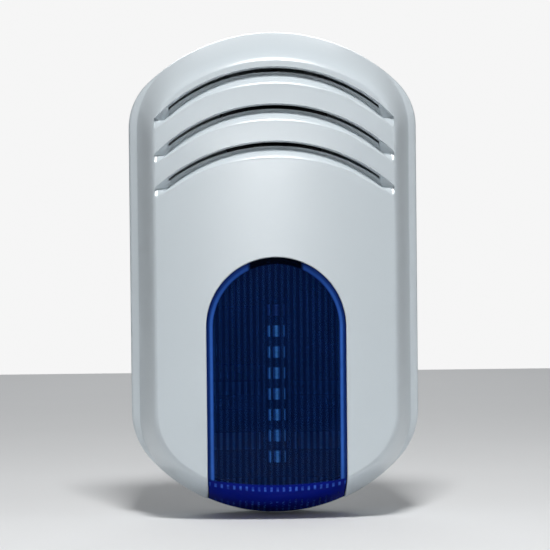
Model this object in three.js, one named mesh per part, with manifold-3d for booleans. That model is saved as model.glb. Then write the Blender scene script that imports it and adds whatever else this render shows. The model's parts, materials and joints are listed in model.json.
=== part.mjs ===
// Outdoor wall siren with a strobe beacon: back plate with horn, boards and battery,
// and a hinged front cover with three arched louvres and a blue beacon lens.
// Millimetres, +Z up, +X to the right seen from the front, the front faces -Y.
// The wall face is the plane y = 0 and the origin is the middle of it.
import * as THREE from 'three';
import { mergeVertices } from 'three/addons/utils/BufferGeometryUtils.js';
import Module from 'manifold-3d';

const wasm = await Module();
wasm.setup();

// ---------------------------------------------------------------- driving dimensions
const WIDTH = 204; // over the cover skirt
const HEIGHT = 340; // crown to crown
const DEPTH = 78; // wall to the front of the cover
const WALL = 2.6; // cover wall
const SKIRT_BACK = -5; // back edge of the cover skirt
const SKIRT_FRONT = -27; // where the skirt starts to turn in
const CREASE_Y = -34; // shoulder crease, where the dome starts
const FACE_Y = -74; // edge of the front face
// an outline: half width, then top apex, crown radius, corner radius, then the same below
const SKIRT = [WIDTH / 2, HEIGHT / 2, 127, 44, -HEIGHT / 2, 120, 50];
const SKIRT_F = [101.4, 169.9, 126.6, 43.6, -169.9, 119.6, 49.6];
const SHOULDER = [99.6, 170 - 0.5, 126.4, 46, -169.5, 119.4, 51];
const DOME = [95.3, 169, 126, 54, -169, 119, 54];
const FACE = [82, 147.2, 116, 45, -151.5, 110, 45];
const SPINE_TOP = 60; // the crowned face is straight between these heights
const SPINE_BOTTOM = -70;
// dome wall from the crease to the face: [share of the inset, share of the depth]
const DOME_PROFILE = [[0, 0], [0.25, 0.34], [0.52, 0.66], [0.74, 0.86], [0.89, 0.96], [1, 1]];
const TRAY = [98.0, 149, 170, 60, -166.0, 116.6, 46.6]; // back plate outline
const TRAY_WALL = 2.2;
const TRAY_DEPTH = 18;
const FLOOR = 2.5; // back plate thickness
// louvres: slit apex height, arc radius
const LOUVRES = [[143.5, 115], [117.9, 117.6], [92.2, 124]];
const LOUVRE_HALF = 82.8; // recess half width
const SLIT_HALF = 72.8;
const SLIT = 2.1;
const LOUVRE_DEEP = 7;
const LENS_HALF = 48.4; // beacon opening
const LENS_ARCH_Z = -36.3; // centre of its arch
const LENS_BACK = -24.5; // back end of the lens under the chin
const HINGE_Y = -13, HINGE_Z = 160;
const LED_PITCH = 14.7, LED_TOP = -25.2, LED_SIZE = 7.6;
const BATTERY = [97, 43, 52]; // 12 V 1.2 Ah block

// ---------------------------------------------------------------- materials
const mat = (color, roughness, metalness = 0, more = {}) =>
  new THREE.MeshStandardMaterial({ color, roughness, metalness, flatShading: true, ...more });
const WHITE = mat(0xd9e0e4, 0.42);
const PLATE = mat(0xcdd2d4, 0.55);
const BLUE = mat(0x123a9c, 0.12, 0, { transparent: true, opacity: 0.75 });
const RUBBER = mat(0x1c1d1e, 0.85);
const STEEL = mat(0xb4b6b8, 0.35, 1);
const BRASS = mat(0xc9a24c, 0.35, 1);
const BOARD = mat(0x0f3b22, 0.5);
const DARK = mat(0x16181a, 0.5);
const LEDMAT = mat(0xcfe0ff, 0.15, 0, { transparent: true, opacity: 0.8 });
const GREEN = mat(0x2c7f46, 0.5);
const COPPER = mat(0x9b5a2a, 0.5);
const BATT = mat(0x2b2e33, 0.6);
const RED = mat(0xb01b18, 0.5);
const CERAMIC = mat(0xe8e4d8, 0.6);
const GLASS = mat(0xe8eef0, 0.1, 0, { transparent: true, opacity: 0.5 });
const CAPMAT = mat(0x1a2560, 0.4);

// ---------------------------------------------------------------- solids
function solid(geometry) {
  const g = geometry.clone();
  g.deleteAttribute('normal');
  g.deleteAttribute('uv');
  const m = mergeVertices(g, 1e-4);
  const src = m.index.array, p = new Float32Array(m.attributes.position.array);
  const keep = [];
  for (let i = 0; i < src.length; i += 3) {
    const [a, b, c] = [src[i], src[i + 1], src[i + 2]];
    if (a !== b && b !== c && a !== c) keep.push(a, b, c);
  }
  const make = (t) => new wasm.Manifold(new wasm.Mesh({ numProp: 3, vertProperties: p, triVerts: new Uint32Array(t) }));
  const s = make(keep);
  if (s.volume() > 0) return s;
  for (let i = 0; i < keep.length; i += 3) [keep[i + 1], keep[i + 2]] = [keep[i + 2], keep[i + 1]];
  return make(keep);
}
const join = (...s) => s.flat().reduce((a, b) => a.add(b));
const cut = (a, ...s) => s.flat().reduce((x, b) => x.subtract(b), a);

const box = (x0, x1, y0, y1, z0, z1) =>
  solid(new THREE.BoxGeometry(Math.abs(x1 - x0), Math.abs(y1 - y0), Math.abs(z1 - z0)).translate((x0 + x1) / 2, (y0 + y1) / 2, (z0 + z1) / 2));
const rodY = (x, z, y0, y1, r, n = 12) =>
  solid(new THREE.CylinderGeometry(r, r, Math.abs(y1 - y0), n).rotateY(Math.PI / n).translate(x, (y0 + y1) / 2, z));
const rodX = (y, z, x0, x1, r, n = 12) =>
  solid(new THREE.CylinderGeometry(r, r, Math.abs(x1 - x0), n).rotateY(Math.PI / n).rotateZ(Math.PI / 2).translate((x0 + x1) / 2, y, z));
const rodZ = (x, y, z0, z1, r, n = 12) =>
  solid(new THREE.CylinderGeometry(r, r, Math.abs(z1 - z0), n).rotateY(Math.PI / n).rotateX(Math.PI / 2).translate(x, y, (z0 + z1) / 2));
// a turned piece on an axis along Y: pairs of radius and y
const turnY = (x, z, pairs, n = 20) =>
  solid(new THREE.LatheGeometry(pairs.map(([r, y]) => new THREE.Vector2(r, y)), n).translate(x, 0, z));
// a prism along X from a closed outline of y, z pairs
const prismX = (pairs, x0, x1) => {
  const s = new THREE.Shape(pairs.map(([y, z]) => new THREE.Vector2(y, z)));
  const g = new THREE.ExtrudeGeometry(s, { depth: x1 - x0, bevelEnabled: false });
  // shape x -> y, shape y -> z, extrusion -> x
  g.applyMatrix4(new THREE.Matrix4().set(0, 0, 1, x0, 1, 0, 0, 0, 0, 1, 0, 0, 0, 0, 0, 1));
  return solid(g);
};
// a lead: a round section along a smooth curve
const lead = (points, r, steps, sides = 6) => {
  const c = new THREE.CatmullRomCurve3(points.map((q) => new THREE.Vector3(...q)));
  const s = new THREE.Shape();
  for (let i = 0; i < sides; i++) {
    const a = (i / sides) * 2 * Math.PI;
    if (i) s.lineTo(r * Math.cos(a), r * Math.sin(a));
    else s.moveTo(r, 0);
  }
  return solid(new THREE.ExtrudeGeometry(s, { steps, extrudePath: c, bevelEnabled: false }));
};

// ---------------------------------------------------------------- outlines and lofts
// Points from the top apex down the right side to the bottom apex, then up the left side.
const SEG = [4, 6, 2, 6, 4];
function half(o) {
  const [hw, zt, Rt, rt, zb, Rb, rb] = o;
  const pts = [];
  const at = Math.asin((hw - rt) / (Rt - rt)), ct = zt - Rt, kt = ct + (Rt - rt) * Math.cos(at);
  const ab = Math.asin((hw - rb) / (Rb - rb)), cb = zb + Rb, kb = cb - (Rb - rb) * Math.cos(ab);
  for (let i = 0; i < SEG[0]; i++) { const a = (at * i) / SEG[0]; pts.push([Rt * Math.sin(a), ct + Rt * Math.cos(a)]); }
  for (let i = 0; i < SEG[1]; i++) { const a = at + ((Math.PI / 2 - at) * i) / SEG[1]; pts.push([hw - rt + rt * Math.sin(a), kt + rt * Math.cos(a)]); }
  for (let i = 0; i < SEG[2]; i++) pts.push([hw, kt + ((kb - kt) * i) / SEG[2]]);
  for (let i = 0; i < SEG[3]; i++) { const a = Math.PI / 2 - ((Math.PI / 2 - ab) * i) / SEG[3]; pts.push([hw - rb + rb * Math.sin(a), kb - rb * Math.cos(a)]); }
  for (let i = 0; i <= SEG[4]; i++) { const a = ab * (1 - i / SEG[4]); pts.push([Rb * Math.sin(a), cb - Rb * Math.cos(a)]); }
  return pts;
}
const ringPoints = (o, y) => {
  const h = half(o);
  const left = h.slice(1, -1).reverse().map(([x, z]) => [-x, z]);
  return [...h, ...left].map(([x, z]) => [x, y, z]);
};
const inset = (o, d) => [o[0] - d, o[1] - d, o[2] - d, o[3] - d, o[4] + d, o[5] - d, o[6] - d];
const mix = (a, b, t) => a.map((v, i) => v + (b[i] - v) * t);

// A closed surface through rings of equal count. Each end is closed by a strip between
// the right and left sides, or, with tube set, the last ring joins the first.
function loft(rings, tube = false) {
  const n = rings[0].length, pos = rings.flat(2), idx = [];
  const q = (a, b, c, d) => idx.push(a, b, c, a, c, d);
  const last = tube ? rings.length : rings.length - 1;
  for (let r = 0; r < last; r++)
    for (let i = 0; i < n; i++) {
      const s = ((r + 1) % rings.length) * n, j = (i + 1) % n;
      q(r * n + i, r * n + j, s + j, s + i);
    }
  if (!tube) {
    const strip = (base, flip) => {
      for (let i = 0; i < n / 2; i++) {
        const a = base + i, b = base + i + 1, c = base + ((n - i - 1) % n), d = base + ((n - i) % n);
        const tris = [];
        if (a !== d) tris.push([a, b, d]);
        if (b !== c) tris.push([b, c, d]);
        for (const t of tris) flip ? idx.push(t[0], t[1], t[2]) : idx.push(t[0], t[2], t[1]);
      }
    };
    strip(0, false);
    strip((rings.length - 1) * n, true);
  }
  const g = new THREE.BufferGeometry();
  g.setAttribute('position', new THREE.Float32BufferAttribute(pos, 3));
  g.setIndex(idx);
  return solid(g);
}

// The cover surface set in by d, as rings from the back to the front.
const faceOutline = (k) => [FACE[0] * k, SPINE_TOP + (FACE[1] - SPINE_TOP) * k, FACE[2] * k, FACE[3] * k, SPINE_BOTTOM + (FACE[4] - SPINE_BOTTOM) * k, FACE[5] * k, FACE[6] * k];
function coverRings(d, back = SKIRT_BACK) {
  const rings = [ringPoints(inset(SKIRT, d), back), ringPoints(inset(SKIRT_F, d), SKIRT_FRONT + 0.2 * d)];
  if (d < 1) rings.push(ringPoints(inset(SHOULDER, d), -30.5 + 0.6 * d));
  for (const [f, g] of d < 1 ? DOME_PROFILE.slice(0, -1) : [DOME_PROFILE[0], DOME_PROFILE[2], DOME_PROFILE[4]]) rings.push(ringPoints(inset(mix(DOME, FACE, f), d), CREASE_Y + (FACE_Y - CREASE_Y) * g + d * (0.3 + 0.6 * g)));
  for (const k of [1, 0.62, 0.2]) {
    const o = faceOutline(k), e = d * Math.max(0, k - 0.2) / 0.8;
    rings.push(ringPoints(inset(o, e), -DEPTH + (FACE_Y + DEPTH) * k * k + d));
  }
  return rings;
}
// the same as one solid, closed at the back
const coverSolid = (d, back) => loft(coverRings(d, back));

// Depth of the cover surface over a point of the front.
function halfWidth(o, z) {
  const [hw, zt, Rt, rt, zb, Rb, rb] = o;
  if (z >= zt || z <= zb) return 0;
  const at = Math.asin((hw - rt) / (Rt - rt)), ct = zt - Rt, kt = ct + (Rt - rt) * Math.cos(at);
  const ab = Math.asin((hw - rb) / (Rb - rb)), cb = zb + Rb, kb = cb - (Rb - rb) * Math.cos(ab);
  if (z > kt) return z > kt + rt * Math.cos(at) ? Math.sqrt(Rt * Rt - (z - ct) ** 2) : hw - rt + Math.sqrt(Math.max(0, rt * rt - (z - kt) ** 2));
  if (z < kb) return z < kb - rb * Math.cos(ab) ? Math.sqrt(Rb * Rb - (z - cb) ** 2) : hw - rb + Math.sqrt(Math.max(0, rb * rb - (z - kb) ** 2));
  return hw;
}
function surfaceY(x, z) {
  const ax = Math.abs(x);
  if (ax <= halfWidth(FACE, z)) {
    let lo = 0.001, hi = 1;
    for (let i = 0; i < 30; i++) { const k = (lo + hi) / 2; ax <= halfWidth(faceOutline(k), z) ? (hi = k) : (lo = k); }
    return -DEPTH + (FACE_Y + DEPTH) * hi * hi;
  }
  let lo = 0, hi = 1;
  for (let i = 0; i < 30; i++) { const f = (lo + hi) / 2; ax <= halfWidth(mix(DOME, FACE, f), z) ? (lo = f) : (hi = f); }
  for (let i = 1; i < DOME_PROFILE.length; i++) {
    const [f0, g0] = DOME_PROFILE[i - 1], [f1, g1] = DOME_PROFILE[i];
    if (lo <= f1) return CREASE_Y + (FACE_Y - CREASE_Y) * (g0 + ((g1 - g0) * (lo - f0)) / (f1 - f0));
  }
  return FACE_Y;
}

// A band that follows an arched louvre: closed sections of [y, z] at stations along X.
function archBand(xs, section) {
  const rings = xs.map((x) => section(x).map(([y, z]) => [x, y, z]));
  const n = rings[0].length, pos = rings.flat(2), idx = [];
  for (let r = 0; r < rings.length - 1; r++)
    for (let i = 0; i < n; i++) {
      const j = (i + 1) % n;
      idx.push(r * n + i, r * n + j, (r + 1) * n + j, r * n + i, (r + 1) * n + j, (r + 1) * n + i);
    }
  const e = (rings.length - 1) * n;
  for (let i = 1; i < n - 1; i++) idx.push(0, i + 1, i, e, e + i, e + i + 1);
  const g = new THREE.BufferGeometry();
  g.setAttribute('position', new THREE.Float32BufferAttribute(pos, 3));
  g.setIndex(idx);
  return solid(g);
}
const stations = (h, n) => Array.from({ length: n + 1 }, (_, i) => -h + (2 * h * i) / n);

// The beacon opening: an arch open at the bottom, as a prism along Y.
function archPrism(h, y0, y1, z0 = -185) {
  const s = new THREE.Shape();
  s.moveTo(-h, z0);
  s.lineTo(h, z0);
  s.lineTo(h, LENS_ARCH_Z);
  const n = 16;
  for (let i = 1; i < n; i++) { const a = (Math.PI * i) / n; s.lineTo(h * Math.cos(a), LENS_ARCH_Z + h * Math.sin(a)); }
  s.lineTo(-h, LENS_ARCH_Z);
  const g = new THREE.ExtrudeGeometry(s, { depth: Math.abs(y1 - y0), bevelEnabled: false });
  g.rotateX(Math.PI / 2); // extrusion runs towards -Y, the shape's y becomes z
  g.translate(0, Math.max(y0, y1), 0);
  return solid(g);
}

// ---------------------------------------------------------------- scene graph
const root = new THREE.Group();
const base = new THREE.Group(), cover = new THREE.Group();
root.add(base, cover);
function put(group, name, s, material) {
  const m = s.getMesh();
  const g = new THREE.BufferGeometry();
  const p = new Float32Array(m.numVert * 3);
  for (let i = 0; i < m.numVert; i++) p.set(m.vertProperties.subarray(i * m.numProp, i * m.numProp + 3), i * 3);
  g.setAttribute('position', new THREE.BufferAttribute(p, 3));
  g.setIndex(new THREE.BufferAttribute(new Uint32Array(m.triVerts), 1));
  g.computeVertexNormals();
  const mesh = new THREE.Mesh(g, material);
  mesh.name = name;
  group.add(mesh);
}
// a pan-head screw pointing back (towards +Y) from its seat
const screwY = (x, z, seat, headR, headH, r, length) => join(rodY(x, z, seat, seat - headH, headR, 10), rodY(x, z, seat - 0.1, seat + length, r, 6));
const slotY = (x, z, y, r) => [box(x - r, x + r, y - 1, y + 0.9, z - 0.4, z + 0.4)];

// ---------------------------------------------------------------- front cover
{
  let s = cut(coverSolid(0, SKIRT_BACK), coverSolid(WALL, SKIRT_BACK + 6));
  const within = coverSolid(0.9, SKIRT_BACK);
  // hoods behind the louvres, then their recesses and slits
  const xs = stations(LOUVRE_HALF, 10);
  for (const [zt, R] of LOUVRES) {
    const up = (x) => zt - R + Math.sqrt(R * R - x * x);
    const low = (x) => up(x) - (11.3 - 3.5 * Math.min(1, Math.abs(x) / LOUVRE_HALF) ** 2);
    const wx = stations(LOUVRE_HALF + 1.8, 8);
    const hood = archBand(wx, (x) => {
      const y = surfaceY(x * 0.97, up(x) - 3), u = up(x), l = low(x);
      return [[y + 1.2, u + 2.2], [y + LOUVRE_DEEP + 2, u + 2.2], [y + LOUVRE_DEEP + 2, u - 4.4], [y + 1.2, l - 2.4]];
    });
    s = s.add(hood.intersect(within));
    const pocket = archBand(xs, (x) => {
      const u = up(x), l = low(x), y = surfaceY(x * 0.97, u - 3);
      return [[-DEPTH - 4, u], [y + LOUVRE_DEEP, u], [y + LOUVRE_DEEP - 0.6, u - 2.3], [y + 0.2, l], [-DEPTH - 4, l - 0.4]];
    });
    s = s.subtract(pocket);
    const slit = archBand(stations(SLIT_HALF, 10), (x) => {
      const u = up(x), y = surfaceY(x * 0.97, u - 3);
      return [[y + LOUVRE_DEEP - 1.5, u + 0.01], [y + 13, u + 0.01], [y + 13, u - SLIT], [y + LOUVRE_DEEP - 1.5, u - SLIT]];
    });
    s = s.subtract(slit);
  }
  // beacon opening, down to the skirt strip that stays below the chin
  s = s.subtract(archPrism(LENS_HALF, -95, LENS_BACK - 0.3 + 0.6));
  // hinge knuckles at the crown
  for (const m of [-1, 1]) {
    const x0 = m * 30.5, x1 = m * 37;
    s = join(s, rodX(HINGE_Y, HINGE_Z, x0, x1, 3.6, 14), box(Math.min(x0, x1), Math.max(x0, x1), HINGE_Y - 3.4, HINGE_Y + 3.4, HINGE_Z, 163.9));
    s = cut(s, rodX(HINGE_Y, HINGE_Z, m * 29, m * 38.5, 1.85, 12));
  }
  // boss of the locking screw at the bottom, with its counterbore
  s = join(s, rodZ(0, -13, -168.6, -156.5, 6.5, 16));
  s = cut(s, rodZ(0, -13, -172, -159.5, 4.7, 16), rodZ(0, -13, -160, -155, 2.5, 12));
  // post that works the cover tamper switch
  s = join(s, rodY(-72, 20, -73.4, -32, 3, 10), box(-72.8, -71.2, -73.4, -45, 12, 28));
  // bosses for the lens clamp screws
  for (const [x, z] of [[-60.5, -24], [60.5, -24], [-60.5, -122], [60.5, -122]]) {
    const y = surfaceY(x, z);
    s = join(s, rodY(x, z, y + 1, y + 6.2, 3.6, 12));
    s = cut(s, rodY(x, z, y + 2.2, y + 7, 1.5, 10));
  }
  put(cover, 'front_cover', s, WHITE);

  // ------------------------------------------------------------ beacon lens
  const skin = cut(coverSolid(0.7, LENS_BACK), coverSolid(4.4, LENS_BACK + 6)).intersect(archPrism(LENS_HALF - 0.4, -95, LENS_BACK));
  const rim = cut(coverSolid(4.0, LENS_BACK), coverSolid(6.0, LENS_BACK + 6)).intersect(cut(archPrism(56.3, -95, -50, -150), archPrism(45.4, -96, -49, -190)));
  put(cover, 'beacon_lens', join(skin, rim), BLUE);
  const seal = cut(coverSolid(2.95, LENS_BACK), coverSolid(3.7, LENS_BACK + 6)).intersect(cut(archPrism(55.5, -95, -52, -149), archPrism(50.4, -96, -51, -190)));
  put(cover, 'lens_gasket', seal, RUBBER);
  [[-60.5, -24], [60.5, -24], [-60.5, -122], [60.5, -122]].forEach(([x, z], i) => {
    const y = surfaceY(x, z) + 6.9;
    const s1 = join(rodY(x, z, y, y + 1, 5.6, 12), rodY(x, z, y + 0.9, y + 2.6, 3, 8), rodY(x, z, y - 3.8, y + 0.1, 1.2, 6));
    put(cover, `lens_screw_${i + 1}`, cut(s1, box(x - 2, x + 2, y + 1.7, y + 3, z - 0.4, z + 0.4)), STEEL);
  });
}

// ---------------------------------------------------------------- locking screw
put(cover, 'lock_screw_ring', cut(rodZ(0, -13, -166.0, -165.0, 3.9, 14), rodZ(0, -13, -167, -164, 2.45, 12)), RUBBER);
put(cover, 'lock_screw', cut(join(rodZ(0, -13, -169.2, -166.3, 4, 14), rodZ(0, -13, -166.4, -157.3, 2.1, 10), solid(new THREE.CylinderGeometry(1.2, 2.1, 0.9, 10).rotateX(Math.PI / 2).rotateZ(Math.PI / 10).translate(0, -13, -156.9))),
  box(-2.6, 2.6, -13.5, -12.5, -170, -167.6)), STEEL);

// ---------------------------------------------------------------- back plate
const BOARD_SCREWS = [[-40, -75], [57, -75], [-40, 47], [57, 47]];
const HORN_X = 0, HORN_ZC = 104;
const EARS = [90, 210, 330].map((a) => [HORN_X + 32 * Math.cos((a * Math.PI) / 180), HORN_ZC + 32 * Math.sin((a * Math.PI) / 180)]);
{
  const tray = loft([
    ringPoints(TRAY, 0), ringPoints(TRAY, -TRAY_DEPTH),
    ringPoints(inset(TRAY, TRAY_WALL), -TRAY_DEPTH), ringPoints(inset(TRAY, TRAY_WALL), -FLOOR),
  ]);
  let s = tray;
  const add = [], off = [];
  for (const [x, z] of BOARD_SCREWS) { add.push(rodY(x, z, -2, -9, 3.6, 12)); off.push(rodY(x, z, -4, -10, 1.6, 10)); }
  for (const [x, z] of EARS) { add.push(rodY(x, z, -2, -10, 4, 12)); off.push(rodY(x, z, -4, -11, 1.6, 10)); }
  for (const m of [-1, 1]) {
    add.push(rodY(m * 38, -90, -2, -54.2, 3, 12)); // posts of the LED bracket
    off.push(rodY(m * 38, -90, -44, -55, 1.35, 10));
    add.push(rodY(m * 62, -119, -2, -12, 4.2, 12)); // bosses of the battery strap
    off.push(rodY(m * 62, -119, -4, -13, 1.6, 10));
    add.push(box(m * 49.2, m * 51.2, -2, -26, -142, -128), box(m * 49.2, m * 51.2, -2, -26, -110, -100));
    add.push(box(m * 12, m * 46, -2, -26, -148, -146)); // battery shelf
    add.push(box(m * 12, m * 14, -2, -14, -165, -147));
    // hinge lugs, which leave the crown free to swing
    add.push(prismX([[-2, 126], [-2, 145], [-10.2, 148.5], [-10.2, 160], [-15.8, 160], [-15.8, 140]], Math.min(m * 23.5, m * 30.2), Math.max(m * 23.5, m * 30.2)));
    add.push(rodX(HINGE_Y, HINGE_Z, m * 23.5, m * 30.2, 2.9, 12));
    off.push(rodX(HINGE_Y, HINGE_Z, m * 20, m * 30.3, 1.8, 12));
    // stiffening ribs
    add.push(box(m * 88, m * 90, -2, -8, -100, 70));
    off.push(rodY(m * 72, 104, 1, -4, 2.6, 12), rodY(m * 74, -118, 1, -4, 2.6, 12)); // wall screws
    add.push(rodY(m * 72, 104, -2, -6, 5.4, 14), rodY(m * 74, -118, -2, -6, 5.4, 14));
    off.push(rodY(m * 72, 104, 1, -7, 2.6, 12), rodY(m * 74, -118, 1, -7, 2.6, 12));
  }
  add.push(box(-86, 86, -2, -8, 60, 62));
  add.push(box(-6.5, 6.5, -2, -18, -155.6, -146.4)); // locking screw boss
  off.push(rodZ(0, -13, -157, -145, 2.4, 12));
  off.push(box(-8.2, 8.2, -3.2, -20, -170, -156)); // room for the cover's screw boss
  off.push(rodY(-64, -58, 1, -4, 8, 16)); // cable entry
  off.push(rodY(78, -20, 1, -4, 3.4, 12)); // wall tamper plunger
  add.push(box(72, 84, -2, -7.7, -34, -31), box(72, 84, -2, -7.7, -9, -6));
  add.push(box(-78, -66, -2, -6, 4, 7.6), box(-78, -66, -2, -6, 32.4, 36));
  s = cut(join(s, ...add), ...off);
  put(base, 'back_plate', s, PLATE);
}
for (const [m, side] of [[-1, 'left'], [1, 'right']]) {
  put(base, `hinge_pin_${side}`, join(rodX(HINGE_Y, HINGE_Z, m * 22.9, m * 37.3, 1.5, 10), rodX(HINGE_Y, HINGE_Z, m * 21.6, m * 23.1, 2.7, 12)), STEEL);
  put(base, `led_bracket_screw_${side}`, cut(screwY(m * 38, -90, -56.3, 2.7, 1.9, 1.05, 9.5), ...slotY(m * 38, -90, -58.1, 1.6)), STEEL);
  put(base, `battery_strap_screw_${side}`, cut(screwY(m * 62, -119, -13.9, 3.2, 2.1, 1.3, 8), ...slotY(m * 62, -119, -16, 1.9)), STEEL);
}
put(base, 'cable_grommet', turnY(-64, -58, [[5.6, 0], [7.6, 0], [7.6, -2.8], [9.8, -2.8], [9.8, -5.2], [5.6, -5.2], [5.6, 0]], 16), RUBBER);

// ---------------------------------------------------------------- horn
{
  let cup = turnY(HORN_X, HORN_ZC, [[0, -12.4], [27, -12.4], [27, -30], [24, -30], [24, -24], [20, -24], [20, -15], [0, -15]], 20);
  for (const [x, z] of EARS) cup = join(cup, rodY(x, z, -10.3, -13.4, 4, 12), box(Math.min(x * 0.75, x), Math.max(x * 0.75, x) + 0.01, -10.3, -13.4, Math.min(z, HORN_ZC + (z - HORN_ZC) * 0.75) - 2, Math.max(z, HORN_ZC + (z - HORN_ZC) * 0.75) + 2));
  cup = join(cup, box(-2, 2, -10.3, -13.4, 124, 136));
  for (const [x, z] of EARS) cup = cut(cup, rodY(x, z, -9, -15, 1.9, 10));
  put(base, 'horn_cup', cup, DARK);
  EARS.forEach(([x, z], i) => put(base, `horn_screw_${i + 1}`, cut(screwY(x, z, -13.7, 3.1, 2, 1.3, 8.2), ...slotY(x, z, -15.6, 1.8)), STEEL));
  put(base, 'piezo_diaphragm', turnY(HORN_X, HORN_ZC, [[0, -23.8], [15, -23.8], [15, -24.3], [23.6, -24.3], [23.6, -24.8], [0, -24.8]], 20), BRASS);
  put(base, 'piezo_ring', turnY(HORN_X, HORN_ZC, [[20.5, -25.1], [23.6, -25.1], [23.6, -29.7], [20.5, -29.7], [20.5, -25.1]], 20), RUBBER);
  put(base, 'horn_flare', turnY(HORN_X, HORN_ZC, [[9, -30.3], [27, -30.3], [27, -33], [12, -33], [14, -43], [23, -55], [38, -62], [36.5, -63.4], [21, -56], [11.6, -43], [9, -30.3]], 20), DARK);
}

// ---------------------------------------------------------------- main board
{
  const holes = BOARD_SCREWS.map(([x, z]) => rodY(x, z, -8, -12, 1.9, 10));
  put(base, 'main_board', cut(box(-45, 62, -9.3, -10.9, -80, 52), ...holes), BOARD);
  BOARD_SCREWS.forEach(([x, z], i) => put(base, `board_screw_${i + 1}`, cut(screwY(x, z, -11.2, 3, 2, 1.3, 6.6), ...slotY(x, z, -13.1, 1.8)), STEEL));
  let tb = box(-36, 4, -11.2, -22, -77.5, -67);
  tb = cut(tb, ...Array.from({ length: 8 }, (_, i) => box(-35 + 5 * i, -32 + 5 * i + 0.4, -13.2, -18.2, -79, -73)), ...Array.from({ length: 8 }, (_, i) => rodY(-33.3 + 5 * i, -71, -20, -23, 1.6, 6)));
  put(base, 'terminal_block', tb, GREEN);
  put(base, 'transformer_core', join(box(14, 40, -11.2, -29, 8, 13.5), box(14, 40, -11.2, -29, 30.5, 36), box(14, 18, -11.2, -29, 13, 31), box(36, 40, -11.2, -29, 13, 31)), DARK);
  put(base, 'transformer_coil', turnY(27, 22, [[0, -12], [7.2, -12], [7.2, -28], [0, -28]], 14), COPPER);
  put(base, 'capacitor_large', turnY(30, -20, [[0, -11.2], [8, -11.2], [8, -29.5], [7.2, -31], [0, -31]], 14), CAPMAT);
  put(base, 'control_chip', join(box(-24, -16, -12.2, -15.6, -2, 26), ...[-1, 1].map((m) => box(-20 + m * 3.5, -20 + m * 5, -11.2, -13.4, -1, 25))), DARK);
  put(base, 'relay', box(-36, -17, -11.2, -27, -40, -25), DARK);
  put(base, 'fuse_holder', cut(box(20, 44, -11.2, -17.5, -60, -53), box(26, 38, -14, -19, -61, -52), rodX(-18, -56.5, 19, 45, 2.9, 12)), DARK);
  put(base, 'fuse_tube', rodX(-18, -56.5, 21, 43, 2.5, 12), GLASS);
  put(base, 'led_socket', box(-12, -2, -11.2, -15, 6, 12), CERAMIC);
}

// ---------------------------------------------------------------- beacon board
{
  const arms = [box(-13, 13, -54.5, -56, -142, -17), box(-43.5, 43.5, -54.5, -56, -95, -85)];
  put(base, 'led_bracket', cut(join(...arms), ...[-1, 1].map((m) => rodY(m * 38, -90, -54, -57, 1.5, 10))), DARK);
  put(base, 'led_board', box(-11, 11, -56.3, -57.9, -141, -18), BOARD);
  for (let i = 0; i < 8; i++) {
    const z = LED_TOP - LED_PITCH * i, h = LED_SIZE / 2;
    put(base, `led_${i + 1}`, join(box(-h, h, -58.2, -62.2, z - h, z + h), turnY(0, z, [[0, -62], [2.9, -62], [2.4, -64], [0, -65]], 8)), LEDMAT);
  }
}

// ---------------------------------------------------------------- battery
{
  const [bx, by, bz] = BATTERY, z0 = -145.7;
  put(base, 'battery', join(box(-bx / 2, bx / 2, -3, -3 - by, z0, z0 + bz - 3), box(-bx / 2 + 2, bx / 2 - 2, -5, -1 - by, z0 + bz - 3.1, z0 + bz)), BATT);
  for (const [m, side, mt] of [[1, 'positive', BRASS], [-1, 'negative', BRASS]]) put(base, `battery_terminal_${side}`, join(box(m * 20 - 3.6, m * 20 + 3.6, -23.5, -26.5, -93.3, -87.6), box(m * 20 - 1.6, m * 20 + 1.6, -23.8, -26.2, -88, -86.9)), mt);
  put(base, 'battery_lead_red', lead([[20, -25, -86.5], [19.5, -24.6, -84.4], [14, -20.5, -82.8], [6, -16.8, -82.2], [2, -15.7, -80.6], [1.7, -15.7, -77.9], [1.7, -15.7, -74]], 1.0, 14), RED);
  put(base, 'battery_lead_black', lead([[-20, -25, -86.5], [-19.7, -24.4, -84.6], [-18.8, -20, -82.6], [-18.4, -16.4, -80.8], [-18.3, -15.7, -78], [-18.3, -15.7, -74]], 1.0, 12), RUBBER);
  put(base, 'battery_strap', cut(join(
    box(-51.8, 51.8, -46.5, -47.7, -125, -113),
    ...[-1, 1].flatMap((m) => [box(m * 50.6, m * 51.8, -12.4, -47.6, -125, -113), box(m * 50.6, m * 67, -12.4, -13.6, -125, -113)])),
    ...[-1, 1].map((m) => rodY(m * 62, -119, -12, -14, 1.9, 10))), STEEL);
}

// ---------------------------------------------------------------- leads that are held at both ends
put(base, 'led_lead', lead([[4, -57.1, -17.6], [4, -56.6, -13], [2, -48, -4], [-4, -32, 4], [-7, -20, 8.6], [-7, -15.4, 9]], 1.1, 12), RUBBER);
put(base, 'horn_lead', lead([[-6, -20, 76.6], [-6, -20.4, 72], [-6, -20, 62], [-6, -18, 52], [-5, -16, 46], [-5, -12.4, 43]], 1.1, 10), RED);

// ---------------------------------------------------------------- tamper switches
put(base, 'cover_tamper_switch', cut(box(-78, -66, -6.3, -22, 8, 32), rodY(-72, 20, -12, -23, 2.1, 10)), DARK);
put(base, 'cover_tamper_plunger', join(rodY(-72, 20, -15.5, -25.2, 1.7, 10), rodY(-72, 20, -25, -31.6, 2.6, 12)), RED);
put(base, 'wall_tamper_switch', cut(box(72, 84, -8, -22, -34, -6), rodY(78, -20, -7, -16, 2.4, 10)), DARK);
put(base, 'wall_tamper_plunger', join(rodY(78, -20, 0, -4, 3, 12), rodY(78, -20, -3.9, -12, 1.9, 10)), RED);

export default root;
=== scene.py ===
import json
import math

import bmesh
import bpy
import numpy as np
from mathutils import Matrix, Vector
from mathutils.bvhtree import BVHTree
from mathutils.interpolate import poly_3d_calc


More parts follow.
